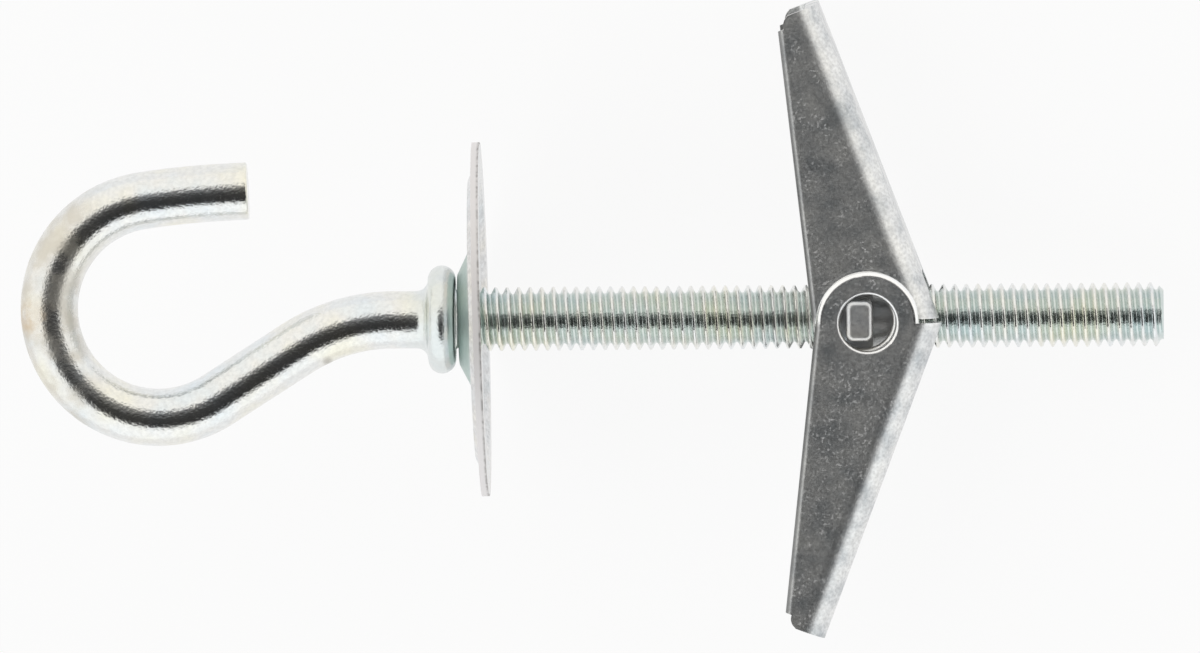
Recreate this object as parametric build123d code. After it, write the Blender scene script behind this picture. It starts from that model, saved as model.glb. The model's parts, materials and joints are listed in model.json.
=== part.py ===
from build123d import *
import os
from math import cos, radians, sin, sqrt, tan

# Spring toggle bolt with an open hook, in millimetres, lying as it comes to rest, +Z up.
# Every piece is first made in the bolt's own frame: the origin is on the bolt's axis, in the washer's
# board side. X runs along the bolt towards the thread's end, the hook and the wings spread in the XY
# plane, and the hinge of the wings is along Z. The last lines lay the whole toggle down on the floor.

# Wire, bead and thread
WIRE_R = 1.75
THREAD_MAJOR_R = 1.95
THREAD_PITCH = 0.7
THREAD_START = -1.1
THREAD_END = 41.4
THREAD_CHAMFER = 0.45
BEAD_CENTRE = -2.59
BEAD_HALF_WIDTH = 0.85
BEAD_R = 3.3
RIM_R = BEAD_R - BEAD_HALF_WIDTH
NECK_START = BEAD_CENTRE - BEAD_HALF_WIDTH - (RIM_R - WIRE_R)

# Hook: straight shank, S bend down to the ring, ring, and a nearly straight lead to the cut end
SHANK_BEND_R = 11.0
DROP_ANGLE = 32.5
RING_R = 6.65
RING_CENTRE = (-19.9, 0.8)
LEAD_RISE = 8.5
LEAD_END_RISE = 2.5
LEAD_LENGTH = 5.2
TIP_LENGTH = 1.35
CUT_EDGE = 0.12

# Pressed washer: flat rim against the board, raised pan, and a boss that meets the bead
WASHER_R = 10.8
WASHER_SHEET = 0.45
WASHER_HOLE_R = 2.15
PAN_R = 8.55
PAN_RISE = 0.3
BOSS_FOOT_R = 4.3
BOSS_TOP_R = 2.75
BOSS_RISE = 1.13
PRESS_RADIUS = 0.25
WASHER_LEAN = 1.24

# Wings: channels of bent sheet, turning on the nut's tabs
PIVOT = 23.4
SHEET = 0.8
WING_WIDTH = 10.6
NEST_GAP = 0.1
BACK_DISTANCE = 4.25
BACK_SWEEP = 20.8
FREE_SWEEP = 6.3
NOSE_DISTANCE = 18.95
BEND_R = 1.6
INNER_BEND_R = 0.6
FREE_CORNER_R = 0.7
EAR_R = 3.15
RIM_ROUND = 0.35
EAR_HOLE_R = 1.72
HOLE_ROUND = 0.2
UPPER_SLACK = 0.2
LOWER_SLACK = 0.12
BUTT_GAP = 0.05
NOTCH_HALF_WIDTH = 2.45
NOTCH_DEPTH = 2.75
NOTCH_CORNER_R = 0.6

# Trunnion nut: a plate with two flat tabs, and a threaded collar on each of its faces
TAB_THICK = 1.6
TAB_DEEP = 2.45
TAB_REACH = 5.9
TAB_OFFSET = -0.5
TAB_CORNER_R = 0.45
TAB_END_R = 0.3
BODY_HALF_WIDTH = 2.6
BODY_HALF_HEIGHT = 2.95
BODY_CORNER_R = 0.9
COLLAR_R = 2.6
COLLAR_LENGTH = 1.8
BACK_COLLAR_LENGTH = 1.3
NUT_CLEARANCE = 0.05

# Torsion spring on the tab that faces up
SPRING_WIRE_R = 0.2
COIL_R = 2.3
COIL_PITCH = 0.44
COIL_START = 2.86
COIL_TURNS = 2
LEG_LENGTH = 7.0
LEG_SPREAD = 9.5

# How far a cutting shape runs past a surface, and how near two sizes are to count as the same
PAST = 1.0
SAME = 0.01


def round_bar(x_low, x_high, radius):
    """A cylinder along the bolt's axis."""
    return Plane.YZ.offset(x_low) * Cylinder(
        radius, x_high - x_low, align=(Align.CENTER, Align.CENTER, Align.MIN)
    )


def hook_path():
    """The wire's centre line, from the fillet at the bead to the cut end of the hook."""
    drop = radians(DROP_ANGLE)
    along = (RING_R * cos(drop) - RING_CENTRE[1]) / sin(drop)
    corner_x = RING_CENTRE[0] + along * cos(drop) + RING_R * sin(drop)
    tangent = SHANK_BEND_R * tan(drop / 2)
    lead_turn = LEAD_RISE - LEAD_END_RISE
    shank = Line((NECK_START, 0), (corner_x + tangent, 0))
    bend = JernArc(shank @ 1, shank % 1, SHANK_BEND_R, DROP_ANGLE)
    slope = Line(bend @ 1, bend @ 1 + (bend % 1) * (along - tangent))
    ring = JernArc(slope @ 1, slope % 1, RING_R, LEAD_RISE - 180 - DROP_ANGLE)
    lead = JernArc(ring @ 1, ring % 1, LEAD_LENGTH / radians(lead_turn), -lead_turn)
    tip = Line(lead @ 1, lead @ 1 + (lead % 1) * TIP_LENGTH)
    return Wire([shank, bend, slope, ring, lead, tip])


def hook_bolt():
    """Bent wire, swaged bead and rolled thread, all one piece. The thread's crests are left smooth."""
    path = hook_path()
    wire = sweep(Plane(origin=path @ 0, z_dir=path % 0) * Circle(WIRE_R), path)
    cut_end = wire.faces().filter_by(GeomType.PLANE).sort_by(Axis.Y)[-1]
    wire = chamfer(cut_end.edges(), CUT_EDGE)
    bead_low, bead_high = BEAD_CENTRE - BEAD_HALF_WIDTH, BEAD_CENTRE + BEAD_HALF_WIDTH
    rolled = Polyline(
        (bead_high, RIM_R),
        (bead_high, WIRE_R),
        (THREAD_START, WIRE_R),
        (THREAD_START + THREAD_PITCH, THREAD_MAJOR_R),
        (THREAD_END - THREAD_CHAMFER, THREAD_MAJOR_R),
        (THREAD_END, THREAD_MAJOR_R - THREAD_CHAMFER),
        (THREAD_END, 0),
        (NECK_START, 0),
        (NECK_START, WIRE_R),
    )
    swell = TangentArc((NECK_START, WIRE_R), (bead_low, RIM_R), tangent=(1, 0))
    rim = ThreePointArc((bead_low, RIM_R), (BEAD_CENTRE, BEAD_R), (bead_high, RIM_R))
    return wire + revolve(make_face([rolled, swell, rim]), Axis.X)


def washer():
    """A disc pressed from sheet, turned about the bolt's axis, with its small lean on the neck."""
    t = WASHER_SHEET
    board_side = [
        (0, WASHER_R),
        (0, PAN_R + PAN_RISE),
        (-PAN_RISE, PAN_R - t / 2),
        (-PAN_RISE, BOSS_FOOT_R),
        (-BOSS_RISE, BOSS_TOP_R),
        (-BOSS_RISE, WASHER_HOLE_R),
    ]
    hook_side = [
        (-BOSS_RISE - t, WASHER_HOLE_R),
        (-BOSS_RISE - t, BOSS_TOP_R),
        (-PAN_RISE - t, BOSS_FOOT_R + t / 4),
        (-PAN_RISE - t, PAN_R),
        (-t, PAN_R + PAN_RISE + t / 2),
        (-t, WASHER_R),
    ]
    section = make_face(Polyline(board_side + hook_side, close=True))
    bends = [v for v in section.vertices() if WASHER_HOLE_R + t / 4 < v.Y < WASHER_R - t / 4]
    section = fillet(bends, PRESS_RADIUS)
    disc = revolve(section, Axis.X)
    return Rot(0, 0, WASHER_LEAN) * disc


def free_edge_x(y):
    """Where the free edge of a flange is, tangent to the ear, at a height y along the back."""
    taper = radians(BACK_SWEEP - FREE_SWEEP)
    return (y * sin(taper) - EAR_R) / cos(taper)


def flange_plate(back, nose, half_width, free_x):
    """A plain block with the outline of a flange, seen along the hinge."""
    foot = -EAR_R - BACK_DISTANCE
    outline = [(free_x(foot), foot), (back, foot), (back, nose), (free_x(nose), nose)]
    return extrude(make_face(Polyline(outline, close=True)), half_width, both=True)


def round_long_edges(block, half_width, side, radius):
    """Round the two long edges of the back with side slice(-2, None), or of the free edge with slice(0, 2)."""
    outer = block.edges().filter_by(lambda e: abs(e.center().Z) > half_width - SAME)
    return fillet(outer.sort_by(Axis.X)[side], radius)


def free_corner(turn):
    """What is trimmed off a flange to round the corner between its free edge and its nose."""
    corner = (free_edge_x(NOSE_DISTANCE), NOSE_DISTANCE)
    taper = radians(BACK_SWEEP - FREE_SWEEP)
    inset = FREE_CORNER_R * (1 + sin(taper)) / cos(taper)
    trim = Pos(*corner) * Box(2 * FREE_CORNER_R, 2 * FREE_CORNER_R, WING_WIDTH + PAST)
    keep = Pos(corner[0] + inset, corner[1] - FREE_CORNER_R) * Cylinder(FREE_CORNER_R, WING_WIDTH + 2 * PAST)
    return turn * (trim - keep)


def wing():
    """A channel bent from sheet: two tapered flanges with round ears, and a web with a bolt notch."""
    half = WING_WIDTH / 2
    back_side, free_side = slice(-2, None), slice(0, 2)
    skin = flange_plate(BACK_DISTANCE, NOSE_DISTANCE, half, free_edge_x)
    skin = round_long_edges(skin, half, back_side, BEND_R)
    skin = round_long_edges(skin, half, free_side, RIM_ROUND)
    inner_half, past_ears = half - SHEET, -BACK_DISTANCE - NOSE_DISTANCE
    hollow = flange_plate(BACK_DISTANCE - SHEET, NOSE_DISTANCE + PAST, inner_half, lambda y: past_ears)
    hollow = round_long_edges(hollow, inner_half, back_side, INNER_BEND_R)
    ears = Cylinder(EAR_R, WING_WIDTH)
    ears = fillet(ears.edges().filter_by(GeomType.CIRCLE), RIM_ROUND)
    turn = Rot(0, 0, BACK_SWEEP)
    side = 2 * NOSE_DISTANCE
    foot = Pos(0, BUTT_GAP, 0) * Box(side, side, side, align=(Align.CENTER, Align.MAX, Align.CENTER))
    shell = (turn * skin - foot) + ears - turn * hollow
    shell -= Cylinder(EAR_HOLE_R, WING_WIDTH + PAST)
    arcs = shell.edges().filter_by(GeomType.CIRCLE).filter_by(lambda e: abs(e.radius - EAR_HOLE_R) < SAME)
    shell = fillet(arcs.filter_by(lambda e: abs(e.center().Z) > half - SAME), HOLE_ROUND)
    notch = Pos(BACK_DISTANCE, 0, 0) * Box(2 * SHEET + 2 * PAST, 2 * NOTCH_DEPTH, 2 * NOTCH_HALF_WIDTH)
    shell -= fillet(notch.edges().filter_by(Axis.X), NOTCH_CORNER_R)
    return shell - free_corner(turn)


def trunnion_nut():
    """A plate across the bolt with a flat tab on each side, and collars that carry the thread."""
    body = Box(TAB_THICK, 2 * BODY_HALF_HEIGHT, 2 * BODY_HALF_WIDTH)
    body = fillet(body.edges().filter_by(Axis.X), BODY_CORNER_R)
    tabs = Box(TAB_THICK, TAB_DEEP, 2 * TAB_REACH)
    tabs = fillet(tabs.edges().filter_by(Axis.Z), TAB_CORNER_R)
    ends = tabs.faces().sort_by(Axis.Z)
    tabs = fillet(ends[0].edges() + ends[-1].edges(), TAB_END_R)
    hook_end, back_end = -TAB_THICK / 2 - COLLAR_LENGTH, TAB_THICK / 2 + BACK_COLLAR_LENGTH
    nut = body + tabs + round_bar(hook_end, back_end, COLLAR_R)
    nut -= round_bar(hook_end - PAST, back_end + PAST, THREAD_MAJOR_R + NUT_CLEARANCE)
    return Pos(TAB_OFFSET, 0, 0) * nut


def spring():
    """One wire: a leg in the upper wing, a coil round the tab, and a leg in the lower wing."""
    lift = 90 + BACK_SWEEP - LEG_SPREAD
    leave = lift - 90
    turns = COIL_TURNS + 2 * leave / 360
    coil = Rot(0, 0, leave) * Helix(COIL_PITCH, COIL_PITCH * turns, COIL_R, lefthand=True)
    first = Line(coil @ 0 - (coil % 0) * LEG_LENGTH, coil @ 0)
    last = Line(coil @ 1, coil @ 1 + (coil % 1) * LEG_LENGTH)
    path = Wire([first, coil, last])
    wire = sweep(Plane(origin=path @ 0, z_dir=path % 0) * Circle(SPRING_WIRE_R), path)
    return Pos(TAB_OFFSET, 0, COIL_START) * wire


def rest_normal():
    """
    The floor's upward normal in the bolt's frame. The toggle rests on the washer's rim and along the
    bend of one flange of the upper wing, so the normal is square to that wing's back.
    """
    back = radians(BACK_SWEEP)
    reach = (PIVOT - UPPER_SLACK) * cos(back) + BACK_DISTANCE - BEND_R
    depth = WING_WIDTH / 2 + (SHEET + NEST_GAP) / 2 - BEND_R
    lean = 0
    for _ in range(8):
        level = sqrt(1 - lean * lean)
        rim = WASHER_R * sqrt(1 - (lean * cos(back)) ** 2)
        lean = (rim - BEND_R - depth * level) / reach
    return Vector(-lean * cos(back), -lean * sin(back), sqrt(1 - lean * lean))


def upper_hinge():
    """The hinge of the upper wing, which sits towards the hook in the slack of its ears on the tabs."""
    return Pos(PIVOT - UPPER_SLACK, 0, 0)


def lower_hinge():
    """The hinge of the lower wing, which hangs down a little in the slack of its ears on the tabs."""
    return Pos(PIVOT, -LOWER_SLACK, 0)


def assemble():
    """Every piece in the bolt's frame, spread and tightened as it is when the wings have just opened."""
    nested = Pos(0, 0, -(SHEET + NEST_GAP) / 2) * wing()
    return {
        "hook_bolt": hook_bolt(),
        "washer": washer(),
        "trunnion_nut": Pos(PIVOT, 0, 0) * trunnion_nut(),
        "wing_upper": upper_hinge() * nested,
        "wing_lower": lower_hinge() * Rot(180, 0, 0) * nested,
        "spring": Pos(PIVOT, 0, 0) * spring(),
    }


def floor_place(pieces):
    """The move that lays the toggle on the floor, with the middle of its box over the origin."""
    normal = rest_normal()
    forward = Vector(1, 0, 0) - normal * normal.X
    lay = Plane(origin=(0, 0, 0), x_dir=forward, z_dir=normal).location.inverse()
    boxes = [(lay * piece).bounding_box() for piece in pieces.values()]
    low_x, high_x = min(b.min.X for b in boxes), max(b.max.X for b in boxes)
    low_y, high_y = min(b.min.Y for b in boxes), max(b.max.Y for b in boxes)
    low_z = min(b.min.Z for b in boxes)
    return Pos(-(low_x + high_x) / 2, -(low_y + high_y) / 2, -low_z) * lay


def main():
    """Make every piece, lay the toggle down and write one file a piece."""
    pieces = assemble()
    place = floor_place(pieces)
    os.makedirs("parts", exist_ok=True)
    for name, piece in pieces.items():
        export_step(place * piece, f"parts/{name}.step")


main()
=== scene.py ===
"""A spring toggle bolt with an open hook, laid on a pale floor and dressed in bright zinc plate.

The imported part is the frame. Its joints give the bolt's own axes: u runs along the bolt towards the
thread's end, w along the hinge of the wings towards the camera, and v is square to both. Every new
surface is worked out in those axes in millimetres, and is then placed in the row frame in metres.
"""
import json
import logging
from dataclasses import dataclass, replace
from enum import Enum
from math import cos, pi, radians, sin, tan
from typing import Sequence

import bmesh
import bpy
import numpy as np
from mathutils import Matrix, Vector


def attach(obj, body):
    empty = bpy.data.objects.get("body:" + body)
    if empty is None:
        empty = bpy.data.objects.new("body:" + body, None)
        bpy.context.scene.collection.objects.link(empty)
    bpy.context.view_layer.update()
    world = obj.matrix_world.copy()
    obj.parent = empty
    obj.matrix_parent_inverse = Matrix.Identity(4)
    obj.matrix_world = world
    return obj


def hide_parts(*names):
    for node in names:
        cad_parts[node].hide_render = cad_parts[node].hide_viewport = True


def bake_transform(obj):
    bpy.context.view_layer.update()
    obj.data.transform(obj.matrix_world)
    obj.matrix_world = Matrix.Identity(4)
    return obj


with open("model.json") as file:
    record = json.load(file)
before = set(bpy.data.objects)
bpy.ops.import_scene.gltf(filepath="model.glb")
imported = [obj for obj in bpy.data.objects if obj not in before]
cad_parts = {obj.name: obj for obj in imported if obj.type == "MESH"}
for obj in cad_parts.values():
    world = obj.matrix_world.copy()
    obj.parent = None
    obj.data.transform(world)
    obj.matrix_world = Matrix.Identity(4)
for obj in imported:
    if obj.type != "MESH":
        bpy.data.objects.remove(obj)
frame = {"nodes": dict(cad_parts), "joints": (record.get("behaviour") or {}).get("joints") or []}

LOG = logging.getLogger("toggle_bolt")
MM = 0.001
# Points nearer to each other than this, in metres, become one.
WELD = 2e-7
FULL_TURN = 2 * pi
Colour = tuple[float, float, float]
Pair = tuple[float, float]
Socket = bpy.types.NodeSocket
WHITE: Colour = (1.0, 1.0, 1.0)


class Body(Enum):
    """The moving bodies that new pieces ride on."""

    BOLT = "bolt"
    NUT = "nut"
    WING_UPPER = "wing_a"
    WING_LOWER = "wing_b"


class Slot(Enum):
    """The record's material slots."""

    WIRE = "zinc_wire"
    WASHER = "zinc_washer"
    NUT = "zinc_nut"
    WING = "zinc_wing"
    SPRING = "spring_wire"


def joint_named(name: str) -> dict:
    """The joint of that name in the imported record."""
    return next(joint for joint in frame["joints"] if joint["name"] == name)


@dataclass(frozen=True)
class BoltAxes:
    """The bolt's own axes in the row frame, read from the record's joints."""

    origin: np.ndarray
    u: np.ndarray
    v: np.ndarray
    w: np.ndarray

    @classmethod
    def from_joints(cls) -> "BoltAxes":
        """Take the origin and u from the bolt's turning joint, and w from the upper wing's hinge.

        Returns:
            Axes of length one, square to each other: w loses its share along u, and v is w cross u.
        """
        turn, fold = joint_named("nut_turn"), joint_named("wing_upper_fold")
        u = np.array(turn["axis"]) / np.linalg.norm(turn["axis"])
        w = np.array(fold["axis"]) - u * (np.array(fold["axis"]) @ u)
        w /= np.linalg.norm(w)
        return cls(np.array(turn["pos_m"]), u, np.cross(w, u), w)

    def place(self, points: np.ndarray) -> np.ndarray:
        """Move points from the bolt's axes in millimetres to the row frame in metres.

        Args:
            points: an array whose last dimension holds u, v and w.
        Returns:
            The same points as an array whose last dimension holds x, y and z.
        """
        return self.origin + (points * MM) @ np.array([self.u, self.v, self.w])


AXES = BoltAxes.from_joints()


@dataclass
class Patch:
    """A grid of points in the bolt's axes, and whether each row closes on itself."""

    points: np.ndarray
    wrap: bool = False

    def faces(self, first: int) -> np.ndarray:
        """The grid's faces.

        Args:
            first: the number of the grid's first vertex in the whole mesh.
        Returns:
            The numbers of the four corners of every face.
        """
        rows, columns = self.points.shape[:2]
        index = first + np.arange(rows * columns).reshape(rows, columns)
        if self.wrap:
            index = np.concatenate([index, index[:, :1]], axis=1)
        corners = [index[:-1, :-1], index[:-1, 1:], index[1:, 1:], index[1:, :-1]]
        return np.stack(corners, axis=-1).reshape(-1, 4)


def build_piece(name: str, patches: Sequence[Patch], sharp_deg: float) -> bpy.types.Object:
    """Weld patches into one closed mesh and shade it smooth between its sharp edges.

    Args:
        name: the piece's name.
        patches: grids in the bolt's axes, in millimetres.
        sharp_deg: edges that turn more than this stay crisp.
    Returns:
        The new object, at the origin, with its place in its mesh.
    """
    starts = np.cumsum([0] + [p.points.shape[0] * p.points.shape[1] for p in patches])
    points = AXES.place(np.concatenate([p.points.reshape(-1, 3) for p in patches]))
    faces = np.concatenate([p.faces(int(s)) for p, s in zip(patches, starts)])
    mesh = bpy.data.meshes.new(name)
    mesh.from_pydata(points, [], faces.tolist())
    work = bmesh.new()
    work.from_mesh(mesh)
    bmesh.ops.remove_doubles(work, verts=work.verts, dist=WELD)
    bmesh.ops.dissolve_degenerate(work, edges=work.edges, dist=WELD)
    bmesh.ops.recalc_face_normals(work, faces=work.faces)
    work.to_mesh(mesh)
    work.free()
    mesh.shade_smooth()
    mesh.set_sharp_from_angle(angle=radians(sharp_deg))
    piece = bpy.data.objects.new(name, mesh)
    bpy.context.scene.collection.objects.link(piece)
    return piece


def turned(profile: np.ndarray, angles: int) -> Patch:
    """A surface of revolution about the bolt's axis.

    Each profile point (along, radius) becomes a ring: u is the distance along, and v and w are the
    radius times the cosine and sine of the turn.

    Args:
        profile: an array of distance along the axis and radius.
        angles: how many points there are round each ring.
    Returns:
        A patch with a row for each profile point.
    """
    turn = np.linspace(0, FULL_TURN, angles, endpoint=False)
    along, radius = profile[:, :1], profile[:, 1:]
    points = np.stack([along + 0 * turn, radius * np.cos(turn), radius * np.sin(turn)], axis=-1)
    return Patch(points, wrap=True)


def arc_profile(centre: Pair, radius: float, start_deg: float, end_deg: float, points: int) -> np.ndarray:
    """Points on an arc: the centre plus the radius times the cosine and sine of the angle.

    Args:
        centre: the arc's centre.
        radius: its radius.
        start_deg: the first point's angle in degrees.
        end_deg: the last point's angle in degrees.
        points: how many points there are.
    Returns:
        An array of points in the plane.
    """
    angle = np.radians(np.linspace(start_deg, end_deg, points))
    return np.stack([centre[0] + radius * np.cos(angle), centre[1] + radius * np.sin(angle)], axis=-1)


def grey(value: float) -> Colour:
    """A neutral colour."""
    return (value, value, value)


@dataclass(frozen=True)
class Nodes:
    """A node tree, with the coordinates that its patterns and distances are laid in."""

    tree: bpy.types.NodeTree
    coordinates: Socket

    @classmethod
    def laid_in(cls, tree: bpy.types.NodeTree, kind: str) -> "Nodes":
        """Lay a tree's patterns in one kind of texture coordinates, such as Object or Generated."""
        return cls(tree, tree.nodes.new("ShaderNodeTexCoord").outputs[kind])

    def link(self, start: Socket, end: Socket) -> None:
        """Join an output to an input."""
        self.tree.links.new(start, end)

    def vector_maths(
        self, operation: str, first: Socket, second: Sequence[float] = (0, 0, 0)
    ) -> bpy.types.Node:
        """Work on a vector.

        Args:
            operation: what is done, in the node's own words.
            first: the vector.
            second: a fixed vector to do it with, where the operation takes one.
        Returns:
            The node.
        """
        node = self.tree.nodes.new("ShaderNodeVectorMath")
        node.operation = operation
        node.inputs[1].default_value = tuple(second)
        self.link(first, node.inputs[0])
        return node

    def measure(self, start: np.ndarray, axis: np.ndarray) -> Socket:
        """How far a place is from a start along an axis: the axis times the way from the start.

        Args:
            start: a point in the row frame, in metres.
            axis: a direction of length one.
        Returns:
            The distance in millimetres.
        """
        away = self.vector_maths("SUBTRACT", self.coordinates, start)
        return self.vector_maths("DOT_PRODUCT", away.outputs["Vector"], axis / MM).outputs["Value"]

    def reach(self, first: Socket, second: Socket) -> Socket:
        """The length of the diagonal of two distances that are square to each other.

        Args:
            first: the distance one way.
            second: the distance the other way.
        Returns:
            The root of the sum of their squares.
        """
        both = self.tree.nodes.new("ShaderNodeCombineXYZ")
        self.link(first, both.inputs["X"])
        self.link(second, both.inputs["Y"])
        return self.vector_maths("LENGTH", both.outputs["Vector"]).outputs["Value"]

    def toward(self, axis: np.ndarray) -> Socket:
        """How far a direction points along an axis, as half of one plus the cosine between the two.

        Args:
            axis: a direction of length one.
        Returns:
            0 against the axis, 0.5 square to it, and 1 along it.
        """
        dot = self.vector_maths("DOT_PRODUCT", self.coordinates, axis)
        node = self.tree.nodes.new("ShaderNodeMath")
        node.operation = "MULTIPLY_ADD"
        node.inputs[1].default_value = 0.5
        node.inputs[2].default_value = 0.5
        self.link(dot.outputs["Value"], node.inputs[0])
        return node.outputs[0]

    def band(self, value: Socket, none_at: float, full_at: float) -> Socket:
        """A mask that grows smoothly from 0 at one value to 1 at another, which may be the smaller one.

        Args:
            value: what the mask follows.
            none_at: the value where it is 0.
            full_at: the value where it is 1.
        Returns:
            The mask.
        """
        rising = none_at < full_at
        node = self.tree.nodes.new("ShaderNodeMapRange")
        node.interpolation_type = "SMOOTHSTEP"
        node.inputs["From Min"].default_value = min(none_at, full_at)
        node.inputs["From Max"].default_value = max(none_at, full_at)
        node.inputs["To Min"].default_value = 0.0 if rising else 1.0
        node.inputs["To Max"].default_value = 1.0 if rising else 0.0
        self.link(value, node.inputs["Value"])
        return node.outputs["Result"]

    def noise(self, size_mm: float, detail: float) -> Socket:
        """A noise over the coordinates.

        Args:
            size_mm: about how large its marks are.
            detail: how many finer layers it has.
        Returns:
            A value between 0 and 1, mostly near 0.5.
        """
        node = self.tree.nodes.new("ShaderNodeTexNoise")
        node.inputs["Scale"].default_value = 1.0 / (size_mm * MM)
        node.inputs["Detail"].default_value = detail
        self.link(self.coordinates, node.inputs["Vector"])
        return node.outputs["Fac"]

    def ramp(self, value: Socket, stops: Sequence[tuple[float, Colour]]) -> Socket:
        """A colour that follows a value.

        Args:
            value: a value between 0 and 1.
            stops: two or more places, in rising order, and the colour at each.
        Returns:
            The colour, straight between two stops and level outside them.
        """
        node = self.tree.nodes.new("ShaderNodeValToRGB")
        elements = node.color_ramp.elements
        while len(elements) < len(stops):
            elements.new(0.5)
        for element, (place, colour) in zip(elements, stops):
            element.position = place
            element.color = (*colour, 1.0)
        self.link(value, node.inputs["Fac"])
        return node.outputs["Color"]

    def greys(self, value: Socket, start: float, end: float, low: float = 0.0, high: float = 1.0) -> Socket:
        """A grey that is low up to one value, high from another on, and straight between."""
        return self.ramp(value, [(start, grey(low)), (end, grey(high))])

    def pattern(self, size_mm: float, detail: float, start: float, end: float, low: float = 0.0) -> Socket:
        """A noise as a grey that is low up to one of its values, and white from another on."""
        return self.greys(self.noise(size_mm, detail), start, end, low)

    def mixer(self, under: Socket, way: str = "MIX") -> bpy.types.Node:
        """A node that lays something over a colour.

        Args:
            under: the colour underneath.
            way: how the two meet, in the node's own words.
        Returns:
            The node, whose inputs B and Factor are still to be set.
        """
        node = self.tree.nodes.new("ShaderNodeMix")
        node.data_type = "RGBA"
        node.blend_type = way
        self.link(under, node.inputs["A"])
        return node

    def multiply(self, first: Socket, second: Socket) -> Socket:
        """The product of two colours or masks.

        Args:
            first: the one colour or mask.
            second: the other.
        Returns:
            Their product, channel by channel.
        """
        node = self.mixer(first, "MULTIPLY")
        node.inputs["Factor"].default_value = 1.0
        self.link(second, node.inputs["B"])
        return node.outputs["Result"]

    def cover(self, under: Socket, over: Socket, mask: Socket) -> Socket:
        """Lay one colour over another by a mask.

        Args:
            under: the colour underneath.
            over: the colour on top.
            mask: how much of the top one shows.
        Returns:
            The mixed colour.
        """
        node = self.mixer(under)
        self.link(mask, node.inputs["Factor"])
        self.link(over, node.inputs["B"])
        return node.outputs["Result"]

    def tint(self, under: Socket, tone: Colour, mask: Socket, amount: float) -> Socket:
        """Lay a plain colour over another.

        Args:
            under: the colour underneath.
            tone: the plain colour.
            mask: where it lies.
            amount: how much of it shows where the mask is full.
        Returns:
            The mixed colour.
        """
        share = self.tree.nodes.new("ShaderNodeMath")
        share.operation = "MULTIPLY"
        share.inputs[1].default_value = amount
        self.link(mask, share.inputs[0])
        node = self.mixer(under)
        node.inputs["B"].default_value = (*tone, 1.0)
        self.link(share.outputs[0], node.inputs["Factor"])
        return node.outputs["Result"]


@dataclass(frozen=True)
class Mark:
    """What a place that differs looks like: its tone, how much of that shows, and its roughness."""

    tone: Colour
    amount: float
    rough: float


@dataclass(frozen=True)
class Zone:
    """Where the plate differs, as a mask, and what it looks like there."""

    mask: Socket
    mark: Mark


@dataclass(frozen=True)
class Finish:
    """A metal whose tint, polish and fine relief wander over the surface, as on bright zinc plate."""

    name: str
    base: Colour
    warm: Colour
    cool: Colour
    rough_low: float
    rough_high: float
    cloud_mm: float = 3.0
    grain_mm: float = 0.2
    mottle: float = 0.1
    specks: float = 0.0
    relief: float = 0.03
    relief_mm: float = 0.05
    # Where in the clouds' noise each colour is at its purest.
    cool_at: float = 0.3
    base_at: float = 0.5
    warm_at: float = 0.7
    # Sizes of the finer patterns, as shares of the grain's or the clouds' size.
    mottle_scale: float = 1.7
    dot_scale: float = 1.5
    crowd_scale: float = 0.8
    speck_tone: float = 0.95
    speck_rough: float = 0.62

    def material(self) -> bpy.types.Material:
        """Build this finish.

        Returns:
            A new material: the plate's own tint and polish, and then each zone laid over them.
        """
        made = bpy.data.materials.new(self.name)
        made.use_nodes = True
        tree = made.node_tree
        nodes = Nodes.laid_in(tree, "Object")
        shader = tree.nodes["Principled BSDF"]
        shader.inputs["Metallic"].default_value = 1.0
        grain = nodes.noise(self.grain_mm, detail=2.0)
        tint = self.colour(nodes)
        polish = nodes.greys(grain, start=0.2, end=0.8, low=self.rough_low, high=self.rough_high)
        for zone in [*self.speckle(nodes), *self.zones(nodes)]:
            tint = nodes.tint(tint, zone.mark.tone, zone.mask, zone.mark.amount)
            polish = nodes.tint(polish, grey(zone.mark.rough), zone.mask, zone.mark.amount)
        nodes.link(tint, shader.inputs["Base Color"])
        nodes.link(polish, shader.inputs["Roughness"])
        bump = tree.nodes.new("ShaderNodeBump")
        bump.inputs["Strength"].default_value = self.relief
        bump.inputs["Distance"].default_value = self.relief_mm * MM
        nodes.link(grain, bump.inputs["Height"])
        nodes.link(bump.outputs["Normal"], shader.inputs["Normal"])
        return made

    def colour(self, nodes: Nodes) -> Socket:
        """Slow clouds of warm and cool plate, darkened by a fine mottle.

        Args:
            nodes: the finish's nodes.
        Returns:
            The plate's colour.
        """
        clouds = nodes.noise(self.cloud_mm, detail=3.0)
        stops = [(self.cool_at, self.cool), (self.base_at, self.base), (self.warm_at, self.warm)]
        size_mm = self.grain_mm * self.mottle_scale
        mottle = nodes.pattern(size_mm, detail=4.0, start=0.35, end=0.65, low=1 - self.mottle)
        return nodes.multiply(nodes.ramp(clouds, stops), mottle)

    def speckle(self, nodes: Nodes) -> list[Zone]:
        """Sparse matt crystals that catch the light, crowded where a slower noise is high.

        Args:
            nodes: the finish's nodes.
        Returns:
            One zone, or none on a finish without specks.
        """
        if not self.specks:
            return []
        dots = nodes.pattern(self.grain_mm * self.dot_scale, detail=1.0, start=0.55, end=0.7)
        crowd = nodes.pattern(self.cloud_mm * self.crowd_scale, detail=2.0, start=0.4, end=0.65, low=0.15)
        look = Mark(grey(self.speck_tone), self.specks, self.speck_rough)
        return [Zone(nodes.multiply(dots, crowd), look)]

    def zones(self, nodes: Nodes) -> list[Zone]:
        """The places where this finish differs: none on a plain one."""
        return []


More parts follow.
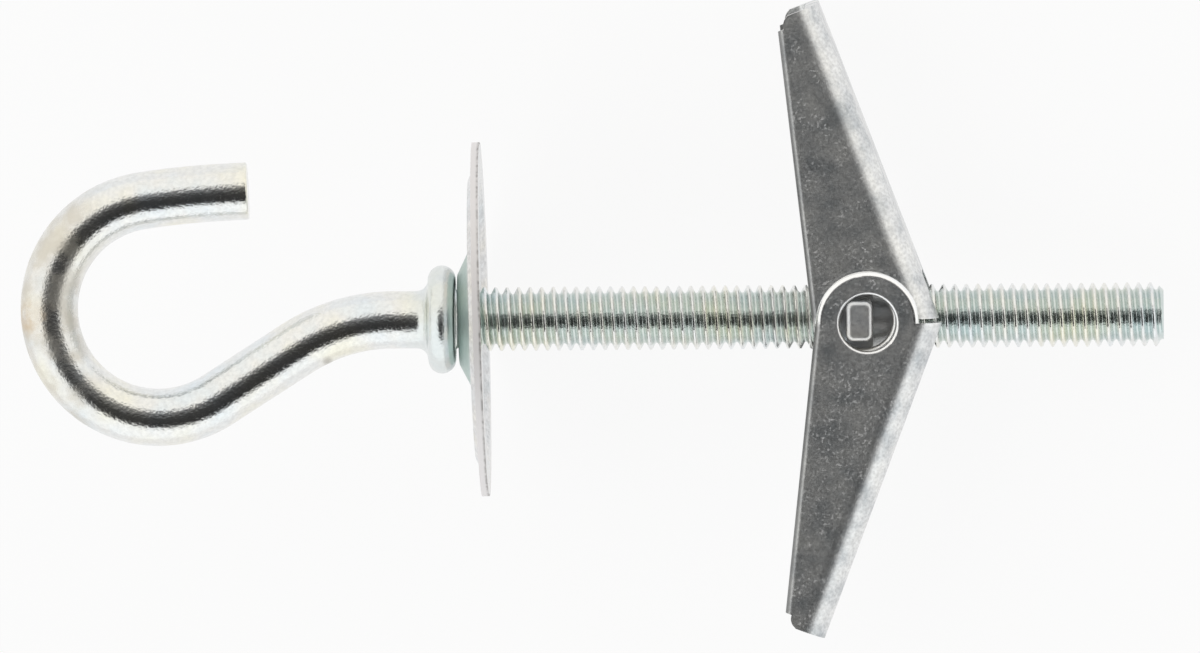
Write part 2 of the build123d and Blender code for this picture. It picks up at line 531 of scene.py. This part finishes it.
@dataclass(frozen=True)
class WireFinish(Finish):
    """The bolt's plate: teal in the thread's roots, bluish by the bead, worn and stained round the hook."""

    thread_start: float = -1.1
    thread_fade: float = 0.3
    root_r: float = 1.6
    crest_r: float = 1.92
    neck_from: float = -5.4
    neck_from_fade: float = 2.0
    neck_to: float = -1.5
    neck_to_fade: float = 0.3
    worn_from: float = -22.5
    worn_full: float = -25.5
    stain_at: Pair = (-27.4, 0.4)
    stain_r: float = 1.6
    scrape_at: Pair = (-9.55, -2.5)
    scrape_r: float = 0.45
    spot_core: float = 0.125
    root: Mark = Mark((0.45, 0.57, 0.54), amount=0.45, rough=0.22)
    neck: Mark = Mark((0.7, 0.76, 0.76), amount=0.5, rough=0.3)
    wear: Mark = Mark((0.66, 0.62, 0.54), amount=0.75, rough=0.42)
    stain: Mark = Mark((0.62, 0.42, 0.2), amount=0.7, rough=0.45)
    scrape: Mark = Mark((0.4, 0.38, 0.33), amount=0.6, rough=0.4)

    def zones(self, nodes: Nodes) -> list[Zone]:
        """Roots by the distance from the bolt's axis, neck and wear by the place along it, and two spots.

        Args:
            nodes: the finish's nodes.
        Returns:
            The zones, later ones over earlier ones.
        """
        along, up, out = (nodes.measure(AXES.origin, axis) for axis in (AXES.u, AXES.v, AXES.w))
        threaded = nodes.band(along, self.thread_start, self.thread_start + self.thread_fade)
        roots = nodes.band(nodes.reach(up, out), self.crest_r, self.root_r)
        patches = nodes.pattern(size_mm=1.4, detail=3.0, start=0.4, end=0.62, low=0.25)
        worn = nodes.band(along, self.worn_from, self.worn_full)
        past_hook = nodes.band(along, self.neck_from, self.neck_from + self.neck_from_fade)
        before_thread = nodes.band(along, self.neck_to, self.neck_to - self.neck_to_fade)
        stained = self.spot(nodes, self.stain_at, self.stain_r)
        return [
            Zone(nodes.multiply(threaded, roots), self.root),
            Zone(nodes.multiply(past_hook, before_thread), self.neck),
            Zone(nodes.multiply(worn, patches), self.wear),
            Zone(nodes.multiply(stained, patches), self.stain),
            Zone(self.spot(nodes, self.scrape_at, self.scrape_r), self.scrape),
        ]

    def spot(self, nodes: Nodes, centre: Pair, radius: float) -> Socket:
        """A round mark that goes straight through the wire, square to the hook's plane.

        Args:
            nodes: the finish's nodes.
            centre: its middle in u and v.
            radius: where it has faded to nothing.
        Returns:
            Its mask, full within a small core.
        """
        place = AXES.place(np.array([*centre, 0.0]))
        away = nodes.reach(*(nodes.measure(place, axis) for axis in (AXES.u, AXES.v)))
        return nodes.band(away, radius, radius * self.spot_core)


@dataclass(frozen=True)
class WasherFinish(Finish):
    """The washer's plate: a dull sheared rim with a darker arris on the board's side, and a teal boss."""

    rim_r: float = 10.72
    rim_fade: float = 0.05
    boss_r: float = 4.6
    boss_fade: float = 0.8
    lean_deg: float = 1.24
    arris_from: float = -0.17
    arris_full: float = -0.04
    sheared: Mark = Mark((0.88, 0.86, 0.86), amount=1.0, rough=0.7)
    arris: Mark = Mark((0.3, 0.29, 0.28), amount=0.75, rough=0.6)
    boss: Mark = Mark((0.46, 0.58, 0.54), amount=0.8, rough=0.5)

    def zones(self, nodes: Nodes) -> list[Zone]:
        """Rim and boss by the distance from the bolt's axis, and the arris by the depth in the leaning disc.

        Args:
            nodes: the finish's nodes.
        Returns:
            The zones, later ones over earlier ones.
        """
        lean = radians(self.lean_deg)
        radius = nodes.reach(*(nodes.measure(AXES.origin, axis) for axis in (AXES.v, AXES.w)))
        depth = nodes.measure(AXES.origin, AXES.u * cos(lean) + AXES.v * sin(lean))
        rim = nodes.band(radius, self.rim_r - self.rim_fade, self.rim_r)
        edge = nodes.multiply(rim, nodes.band(depth, self.arris_from, self.arris_full))
        worn = nodes.pattern(size_mm=0.35, detail=3.0, start=0.4, end=0.6, low=0.3)
        return [
            Zone(rim, self.sheared),
            Zone(nodes.multiply(edge, worn), self.arris),
            Zone(nodes.band(radius, self.boss_r, self.boss_r - self.boss_fade), self.boss),
        ]


@dataclass(frozen=True)
class WingFinish(Finish):
    """A wing's plate: dull and dark along its free edges, with painted highlights on its ears' rims and
    round their holes.
    """

    side: float = 1.0
    hinge: str = "wing_upper_fold"
    free_sweep_deg: float = 6.3
    ear_r: float = 3.15
    edge_mm: float = 0.38
    edge_full_mm: float = 0.1
    # Width of the painted highlight, white plate on each ear's outer rim.
    ear_highlight_mm: float = 0.34
    beyond_fade: float = 0.3
    hole_r: float = 1.72
    # Width of the painted highlight, white plate round each hole.
    hole_highlight_mm: float = 0.2
    crisp_mm: float = 0.02
    edge: Mark = Mark((0.2, 0.2, 0.2), amount=0.85, rough=0.5)
    # Painted highlight: white, glossy plate on the ear's rim for the light that its rounded edge catches.
    rim: Mark = Mark(WHITE, amount=0.9, rough=0.12)
    # Painted highlight: white plate round the hole for the light that its rounded mouth catches.
    hole_highlight: Mark = Mark(WHITE, amount=0.9, rough=0.3)

    def zones(self, nodes: Nodes) -> list[Zone]:
        """The edge by the distance inside its line, which is tangent to the ear, and the painted highlights
        by the radius.

        Args:
            nodes: the finish's nodes.
        Returns:
            The zones, later ones over earlier ones.
        """
        sweep = radians(self.free_sweep_deg)
        centre = np.array(joint_named(self.hinge)["pos_m"])
        inside = nodes.measure(centre, AXES.u * cos(sweep) + AXES.v * sin(sweep) * self.side)
        along, up = (nodes.measure(centre, axis) for axis in (AXES.u, AXES.v * self.side))
        radius = nodes.reach(along, up)
        # Painted highlights: white plate on the ear's rim beyond the hinge, and round the hole.
        ear_highlight_from, hole_highlight_to = self.ear_r - self.ear_highlight_mm, self.hole_r + self.hole_highlight_mm
        ring = nodes.band(radius, ear_highlight_from - self.crisp_mm, ear_highlight_from)
        beyond_hinge = nodes.band(up, self.beyond_fade, -self.beyond_fade)
        return [
            Zone(nodes.band(inside, self.edge_mm - self.ear_r, self.edge_full_mm - self.ear_r), self.edge),
            Zone(nodes.multiply(ring, beyond_hinge), self.rim),
            Zone(nodes.band(radius, hole_highlight_to + self.crisp_mm, hole_highlight_to), self.hole_highlight),
        ]


def dress(piece: bpy.types.Object, finish: bpy.types.Material) -> None:
    """Give a piece its one finish and log its faces and finish.

    Args:
        piece: a CAD node or a new piece.
        finish: its material.
    """
    piece.data.materials.clear()
    piece.data.materials.append(finish)
    LOG.info("%s: %d faces, finish %s", piece.name, len(piece.data.polygons), finish.name)


@dataclass
class HookBolt:
    """The bent wire with its hook, swaged bead and rolled right-hand thread, all one surface."""

    wire_r: float = 1.75
    major_r: float = 1.95
    pitch: float = 0.7
    thread_start: float = -1.1
    thread_end: float = 41.4
    end_chamfer: float = 0.45
    # The thread's form in pitches, and the share of a smooth step in the shape of its flank.
    thread_depth: float = 0.6134
    crest_half: float = 0.075
    flank_width: float = 0.34
    flank_rounding: float = 0.35
    bead_centre: float = -2.59
    bead_half: float = 0.85
    bead_r: float = 3.3
    bead_step: float = 0.1
    shank_bend_r: float = 11.0
    drop_deg: float = 32.5
    ring_r: float = 6.65
    ring_centre: Pair = (-19.9, 0.8)
    lead_rise_deg: float = 8.5
    lead_end_rise_deg: float = 2.5
    lead_length: float = 5.2
    tip_length: float = 1.35
    cut_edge: float = 0.12
    angles: int = 72
    step: float = 0.3
    least_steps: int = 4
    rows_a_pitch: int = 16
    swell_points: int = 9
    bead_points: int = 17
    cut_points: int = 4
    end_rings: tuple[float, ...] = (0.7, 0.35, 0.0)
    sharp_deg: float = 50.0

    def bead_ring_r(self) -> float:
        """The radius of the circle that the bead's half-round section is centred on."""
        return self.bead_r - self.bead_half

    def neck_start(self) -> float:
        """Where the wire starts to swell into the bead."""
        return self.bead_centre - self.bead_half - (self.bead_ring_r() - self.wire_r)

    def stretches(self) -> list[Pair]:
        """The straight and round stretches of the wire, from the bead to the cut end.

        The sloping shank is tangent to the ring's circle. Its line meets the bolt's axis at a corner, which
        the shank's bend rounds, taking the bend's radius times the tangent of half the slope off each side.

        Returns:
            The length of each stretch, and its turn in radians.
        """
        drop = radians(self.drop_deg)
        along = (self.ring_r * cos(drop) - self.ring_centre[1]) / sin(drop)
        corner = self.ring_centre[0] + along * cos(drop) + self.ring_r * sin(drop)
        tangent = self.shank_bend_r * tan(drop / 2)
        ring_turn = radians(self.lead_rise_deg - 180) - drop
        return [
            (self.neck_start() - corner - tangent, 0.0),
            (self.shank_bend_r * drop, drop),
            (along - tangent, 0.0),
            (-self.ring_r * ring_turn, ring_turn),
            (self.lead_length, radians(self.lead_end_rise_deg - self.lead_rise_deg)),
            (self.tip_length, 0.0),
        ]

    def centre_line(self) -> tuple[np.ndarray, np.ndarray]:
        """Points and headings along the wire, bead first.

        A stretch of length l that turns by t from heading h runs, at a share k of its length, on the
        circle of radius l over t: its heading is h + k t, and its place is the start plus the radius
        times the change of sine and of minus cosine. A straight stretch is k l along h.

        Returns:
            Points in u and v, and the heading of each.
        """
        place, heading = np.array([self.neck_start(), 0.0]), pi
        points, headings = [place[None, :]], [np.array([heading])]
        for length, turn in self.stretches():
            share = np.linspace(0, 1, max(self.least_steps, round(length / self.step)))[1:]
            angle = heading + turn * share
            if turn:
                radius = length / turn
                across = radius * (np.sin(angle) - sin(heading))
                up = radius * (cos(heading) - np.cos(angle))
            else:
                across, up = length * share * cos(heading), length * share * sin(heading)
            run = place + np.stack([across, up], axis=-1)
            points.append(run)
            headings.append(angle)
            place, heading = run[-1], heading + turn
        return np.concatenate(points), np.concatenate(headings)

    def wire(self) -> Patch:
        """The wire up to the swell, as a tube.

        The edge of the cut end is rounded by a quarter circle, from the wire's side to its flat face.

        Returns:
            A patch with a ring for each point of the centre line, closed at the cut end.
        """
        points, headings = self.centre_line()
        radius = np.full(len(points), self.wire_r)
        ahead = np.array([np.cos(headings[-1]), np.sin(headings[-1])])
        closing = arc_profile((0, 0), self.cut_edge, 0, 90, self.cut_points)
        points[-1] -= ahead * self.cut_edge
        tip = points[-1] + closing[:, 1:] * ahead
        rim = self.wire_r - self.cut_edge + closing[:, 0]
        points = np.concatenate([points[:-1], tip, tip[-1:], tip[-1:]])
        radius = np.concatenate([radius[:-1], rim, [self.wire_r / 2, 0]])
        headings = np.concatenate([headings, np.full(len(points) - len(headings), headings[-1])])
        return self.tube(points, headings, radius)

    def tube(self, points: np.ndarray, headings: np.ndarray, radius: np.ndarray) -> Patch:
        """A round tube along a line in the hook's plane.

        Each ring is its centre, plus the radius times the cosine of the turn along the line's left and
        the sine of the turn along w.

        Args:
            points: the centre line in u and v.
            headings: the line's direction at each point, in radians.
            radius: the tube's radius at each point.
        Returns:
            A patch with a ring for each point.
        """
        turn = np.linspace(0, FULL_TURN, self.angles, endpoint=False)
        left = np.stack([-np.sin(headings), np.cos(headings), 0 * headings], axis=-1)
        centre = np.concatenate([points, np.zeros((len(points), 1))], axis=-1)
        ring = np.cos(turn)[None, :, None] * left[:, None, :]
        ring = ring + np.sin(turn)[None, :, None] * np.array([0.0, 0.0, 1.0])
        return Patch(centre[:, None, :] + radius[:, None, None] * ring, wrap=True)

    def bead(self) -> Patch:
        """The swell, the half-round bead and the short neck, turned about the bolt's axis.

        Returns:
            A patch with a ring for each point of the profile.
        """
        ring_r = self.bead_ring_r()
        end = self.bead_centre + self.bead_half
        swell = arc_profile((self.neck_start(), ring_r), ring_r - self.wire_r, -90, 0, self.swell_points)
        rim = arc_profile((self.bead_centre, ring_r), self.bead_half, 180, 0, self.bead_points)
        neck = np.array([
            (end, self.wire_r + self.bead_step),
            (end + self.bead_step, self.wire_r),
            (self.thread_start, self.wire_r),
        ])
        return turned(np.concatenate([swell, rim[1:], neck]), self.angles)

    def thread(self) -> Patch:
        """The rolled thread, with the grid's rows along the helix so that each crest is one clean line.

        A row's place along the bolt is its own plus the pitch times the turn over a full circle, held
        between the thread's ends. The radius follows the 60 degree form with a rounded crest and root
        as a function of the phase, which is the place along less the helix's advance, in pitches. It is
        held down to the wire's radius at the start and to a chamfer at the end.

        Returns:
            A patch of the threaded stretch, closed at the bolt's end.
        """
        turn = np.linspace(0, FULL_TURN, self.angles + 1)
        turns = (self.thread_end - self.thread_start) / self.pitch
        rows = np.arange(-self.rows_a_pitch, round((turns + 1) * self.rows_a_pitch)) / self.rows_a_pitch
        advance = self.pitch * turn / FULL_TURN
        along = self.thread_start + rows[:, None] * self.pitch + advance[None, :]
        along = np.clip(along, self.thread_start, self.thread_end)
        phase = (along - advance[None, :]) / self.pitch
        radius = self.major_r - self.thread_depth * self.pitch * self.groove(phase)
        run_in = self.wire_r + (along - self.thread_start) * (self.major_r - self.wire_r) / self.pitch
        run_out = self.major_r + (self.thread_end - self.end_chamfer - along)
        radius = np.minimum(radius, np.minimum(run_in, run_out))
        radius = np.where(along <= self.thread_start, self.wire_r, radius)
        points = np.stack([along, radius * np.cos(turn), radius * np.sin(turn)], axis=-1)
        middle = np.array([self.thread_end, 0.0, 0.0])
        closing = middle + (points[-1] - middle) * np.array(self.end_rings)[:, None, None]
        return Patch(np.concatenate([points, closing]))

    def groove(self, phase: np.ndarray) -> np.ndarray:
        """The groove's shape over one pitch.

        The flank f runs from 0 beside the crest to 1 at the root, in proportion to the distance from the
        crest. The depth is f, rounded at both ends by a share of the smooth step f f (3 - 2 f).

        Args:
            phase: places along the bolt in pitches, with a crest at each whole number.
        Returns:
            How deep the groove is, from 0 at a crest to 1 at a root.
        """
        away = np.abs((phase + 0.5) % 1.0 - 0.5)
        flank = np.clip((away - self.crest_half) / self.flank_width, 0.0, 1.0)
        smooth = flank * flank * (3 - 2 * flank)
        return smooth * self.flank_rounding + flank * (1 - self.flank_rounding)

    def build(self, finish: bpy.types.Material) -> None:
        """Make the whole bolt as one piece that stands for the CAD node.

        Args:
            finish: the wire's material.
        """
        piece = build_piece("hook_bolt_wire", [self.wire(), self.bead(), self.thread()], self.sharp_deg)
        dress(piece, finish)
        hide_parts("hook_bolt")
        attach(piece, Body.BOLT.value)


@dataclass
class TorsionSpring:
    """The spring on the nut's tab, in two halves that meet in the middle of the coil.
    """

    wire_r: float = 0.2
    coil_r: float = 2.3
    pitch: float = 0.44
    centre_u: float = 22.9
    coil_start: float = 2.86
    full_turns: int = 2
    leave_deg: float = 11.3
    leg_length: float = 7.0
    around: int = 12
    steps: int = 72
    leg_steps: int = 12
    sharp_deg: float = 60.0

    def rise(self, share: float | np.ndarray) -> float | np.ndarray:
        """The place along the hinge at a share of the coil's length: a pitch further for every turn."""
        return self.coil_start + share * self.pitch * (self.full_turns + 2 * self.leave_deg / 360)

    def coil(self, share: np.ndarray) -> np.ndarray:
        """Points on a left-hand helix about the hinge.

        The angle falls from the upper leg's side by two turns and twice the angle at which a leg leaves.
        The place is the coil's centre plus the radius times the angle's cosine along u and sine along v.

        Args:
            share: shares of the coil's length, from the upper leg at 0 to the lower one at 1.
        Returns:
            The points in u, v and w.
        """
        leave = radians(self.leave_deg)
        angle = leave - share * (FULL_TURN * self.full_turns + 2 * leave)
        across = self.centre_u + self.coil_r * np.cos(angle)
        return np.stack([across, self.coil_r * np.sin(angle), self.rise(share)], axis=-1)

    def half(self, far_end: float) -> np.ndarray:
        """A centre line from the middle of the coil to the tip of one leg, which goes straight on.

        Args:
            far_end: the share of the coil at that leg, 0 or 1.
        Returns:
            The points in u, v and w.
        """
        coil = self.coil(np.linspace(0.5, far_end, self.steps))
        ahead = coil[-1] - coil[-2]
        leg = np.linspace(0, self.leg_length, self.leg_steps)[1:, None]
        return np.concatenate([coil, coil[-1] + leg * ahead / np.linalg.norm(ahead)])

    def tube(self, line: np.ndarray) -> Patch:
        """A round tube about a line, closed at both ends.

        Each ring is its centre, plus the radius times the turn's cosine along a direction square to the
        line and to w, and its sine along the one square to both.

        Args:
            line: the centre line in u, v and w.
        Returns:
            A patch with a ring for each point.
        """
        ahead = np.gradient(line, axis=0)
        ahead /= np.linalg.norm(ahead, axis=1, keepdims=True)
        side = np.cross(ahead, np.array([0.0, 0.0, 1.0]))
        side /= np.linalg.norm(side, axis=1, keepdims=True)
        over = np.cross(side, ahead)
        line, side, over = (np.concatenate([row[:1], row, row[-1:]]) for row in (line, side, over))
        radius = np.full(len(line), self.wire_r)
        radius[[0, -1]] = 0
        turn = np.linspace(0, FULL_TURN, self.around, endpoint=False)[None, :, None]
        ring = np.cos(turn) * side[:, None, :] + np.sin(turn) * over[:, None, :]
        return Patch(line[:, None, :] + radius[:, None, None] * ring, wrap=True)

    def build(self, finish: bpy.types.Material) -> None:
        """Make both halves, each from the middle of the coil out to the tip of its leg.

        Args:
            finish: the spring's material.
        """
        halves = (("spring_upper", 0.0, Body.WING_UPPER), ("spring_lower", 1.0, Body.WING_LOWER))
        for name, far_end, wing in halves:
            piece = build_piece(name, [self.tube(self.half(far_end))], self.sharp_deg)
            dress(piece, finish)
            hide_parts("spring")
            ends = AXES.place(np.array([(self.centre_u, 0.0, self.rise(share)) for share in (0.5, far_end)]))
            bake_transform(piece)


@dataclass
class Studio:
    """Camera, floor and light: a bright tent with a darker zone round the camera."""

    px_a_mm: float = 16.4
    photo_width: float = 1200.0
    aim_u: float = 7.04
    aim_v: float = -0.5
    yaw_deg: float = 1.15
    rise_deg: float = 3.0
    roll_deg: float = 0.42
    lens_mm: float = 700.0
    sensor_mm: float = 36.0
    clip_near: float = 0.01
    clip_far: float = 10.0
    floor_half: float = 0.6
    floor_white: float = 0.94
    floor_glow: float = 0.9
    tent_strength: float = 1.12
    # Places between the tent's bottom at 0 and its top at 1, and the colour or grey at each.
    tent_colours: tuple[tuple[float, Colour], ...] = ((0.35, (0.985, 1.0, 1.0)), (0.65, (0.93, 0.915, 0.88)))
    dark_greys: tuple[Pair, ...] = ((0.3, 0.03), (0.5, 0.045), (0.62, 0.16))
    dark_half_deg: float = 31.0
    dark_fade: float = 0.045
    dark_lean_u_deg: float = 9.0
    dark_lean_v_deg: float = -8.0

    def camera(self) -> None:
        """Look along the hinge of the wings from far off, a touch from above and from the thread's end."""
        data = bpy.data.cameras.new("camera")
        data.lens, data.sensor_width = self.lens_mm, self.sensor_mm
        distance = self.lens_mm / self.sensor_mm * self.photo_width / self.px_a_mm * MM
        data.clip_start, data.clip_end = distance * self.clip_near, distance * self.clip_far
        yaw, rise, roll = (radians(angle) for angle in (self.yaw_deg, self.rise_deg, self.roll_deg))
        u, v, w = (Vector(axis) for axis in (AXES.u, AXES.v, AXES.w))
        back = w * cos(rise) * cos(yaw) + u * cos(rise) * sin(yaw) + v * sin(rise)
        right = u * cos(roll) - v * sin(roll)
        right = (right - back * right.dot(back)).normalized()
        up = back.cross(right)
        target = Vector(AXES.place(np.array([self.aim_u, self.aim_v, 0.0])))
        place = Matrix((right, up, back)).transposed().to_4x4()
        place.translation = target + back * distance
        camera = bpy.data.objects.new("camera", data)
        camera.matrix_world = place
        bpy.context.scene.collection.objects.link(camera)
        bpy.context.scene.camera = camera

    def floor(self) -> None:
        """A plain white floor under the toggle."""
        half = self.floor_half
        corners = [(-half, -half, 0), (half, -half, 0), (half, half, 0), (-half, half, 0)]
        mesh = bpy.data.meshes.new("floor")
        mesh.from_pydata(corners, [], [(0, 1, 2, 3)])
        mesh.materials.append(self.floor_material())
        plane = bpy.data.objects.new("floor", mesh)
        bpy.context.scene.collection.objects.link(plane)

    def floor_material(self) -> bpy.types.Material:
        """White paper that the camera and the metal see lit up, so that hardly a shadow is left on it.

        Returns:
            A material that is diffuse white, mixed with a glow where a camera or glossy ray meets it.
        """
        made = bpy.data.materials.new("floor")
        made.use_nodes = True
        tree = made.node_tree
        tree.nodes.clear()
        output = tree.nodes.new("ShaderNodeOutputMaterial")
        diffuse = tree.nodes.new("ShaderNodeBsdfDiffuse")
        diffuse.inputs["Color"].default_value = (*grey(self.floor_white), 1)
        glow = tree.nodes.new("ShaderNodeEmission")
        path = tree.nodes.new("ShaderNodeLightPath")
        seen = tree.nodes.new("ShaderNodeMath")
        seen.operation = "MAXIMUM"
        share = tree.nodes.new("ShaderNodeMath")
        share.operation = "MULTIPLY"
        share.inputs[1].default_value = self.floor_glow
        mixed = tree.nodes.new("ShaderNodeMixShader")
        for start, end in (
            (path.outputs["Is Camera Ray"], seen.inputs[0]),
            (path.outputs["Is Glossy Ray"], seen.inputs[1]),
            (seen.outputs[0], share.inputs[0]),
            (share.outputs[0], mixed.inputs["Fac"]),
            (diffuse.outputs[0], mixed.inputs[1]),
            (glow.outputs[0], mixed.inputs[2]),
            (mixed.outputs[0], output.inputs["Surface"]),
        ):
            tree.links.new(start, end)
        return made

    def light(self) -> None:
        """A world that is bright all round, and dark within a cone near the hinge's direction.

        The height in the world is half of one plus the cosine to v, and the cone's border is at half of
        one plus the cosine of its half angle.
        """
        world = bpy.data.worlds.new("tent")
        bpy.context.scene.world = world
        world.use_nodes = True
        tree = world.node_tree
        tree.nodes.clear()
        output = tree.nodes.new("ShaderNodeOutputWorld")
        shade = tree.nodes.new("ShaderNodeBackground")
        nodes = Nodes.laid_in(tree, "Generated")
        height = nodes.toward(AXES.v)
        tent = nodes.ramp(height, self.tent_colours)
        dark = nodes.ramp(height, [(place, grey(level)) for place, level in self.dark_greys])
        border = 0.5 + 0.5 * cos(radians(self.dark_half_deg))
        cone = nodes.greys(nodes.toward(self.dark_middle()), border - self.dark_fade, border)
        nodes.link(nodes.cover(tent, dark, cone), shade.inputs["Color"])
        shade.inputs["Strength"].default_value = self.tent_strength
        nodes.link(shade.outputs[0], output.inputs["Surface"])

    def dark_middle(self) -> np.ndarray:
        """The middle of the dark cone: w leaned towards u and v by the tangent of an angle each.

        Returns:
            A direction of length one.
        """
        lean_u, lean_v = (tan(radians(angle)) for angle in (self.dark_lean_u_deg, self.dark_lean_v_deg))
        middle = AXES.w + AXES.u * lean_u + AXES.v * lean_v
        return middle / np.linalg.norm(middle)


ZINC_WIRE = WireFinish(
    name="zinc_wire",
    base=(0.86, 0.86, 0.84),
    warm=(0.89, 0.87, 0.76),
    cool=(0.8, 0.85, 0.88),
    rough_low=0.08,
    rough_high=0.2,
    cloud_mm=3.5,
    grain_mm=0.16,
    mottle=0.08,
    relief=0.42,
)
ZINC_WASHER = WasherFinish(
    name="zinc_washer",
    base=(0.8, 0.8, 0.8),
    warm=(0.85, 0.82, 0.76),
    cool=(0.73, 0.77, 0.79),
    rough_low=0.15,
    rough_high=0.3,
    mottle=0.2,
)
ZINC_NUT = Finish(
    name="zinc_nut",
    base=(0.78, 0.78, 0.78),
    warm=(0.82, 0.8, 0.74),
    cool=(0.7, 0.74, 0.77),
    rough_low=0.34,
    rough_high=0.44,
)
ZINC_WING_UPPER = WingFinish(
    name="zinc_wing_upper",
    base=(0.84, 0.85, 0.85),
    warm=(0.98, 0.98, 0.96),
    cool=(0.55, 0.58, 0.6),
    rough_low=0.29,
    rough_high=0.39,
    cloud_mm=1.8,
    grain_mm=0.12,
    mottle=0.24,
    specks=0.55,
    relief=0.1,
)
ZINC_WING_LOWER = replace(ZINC_WING_UPPER, name="zinc_wing_lower", side=-1.0, hinge="wing_lower_fold")
SPRING_STEEL = Finish(
    name="spring_wire",
    base=(0.5, 0.5, 0.5),
    warm=(0.55, 0.52, 0.48),
    cool=(0.45, 0.47, 0.5),
    rough_low=0.2,
    rough_high=0.35,
)


def dress_nodes() -> None:
    """Dress the CAD nodes that are shown as they are."""
    for node, finish, slot in (
        ("washer", ZINC_WASHER, Slot.WASHER),
        ("trunnion_nut", ZINC_NUT, Slot.NUT),
        ("wing_upper", ZINC_WING_UPPER, Slot.WING),
        ("wing_lower", ZINC_WING_LOWER, Slot.WING),
    ):
        dress(frame["nodes"][node], finish.material())


def main() -> None:
    """Build the scene in order: camera, floor, light, then every piece."""
    logging.basicConfig(level=logging.INFO)
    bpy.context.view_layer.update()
    bpy.context.scene.view_settings.view_transform = "Standard"
    studio = Studio()
    studio.camera()
    studio.floor()
    studio.light()
    HookBolt().build(ZINC_WIRE.material())
    TorsionSpring().build(SPRING_STEEL.material())
    dress_nodes()


if __name__ == "__main__":
    main()
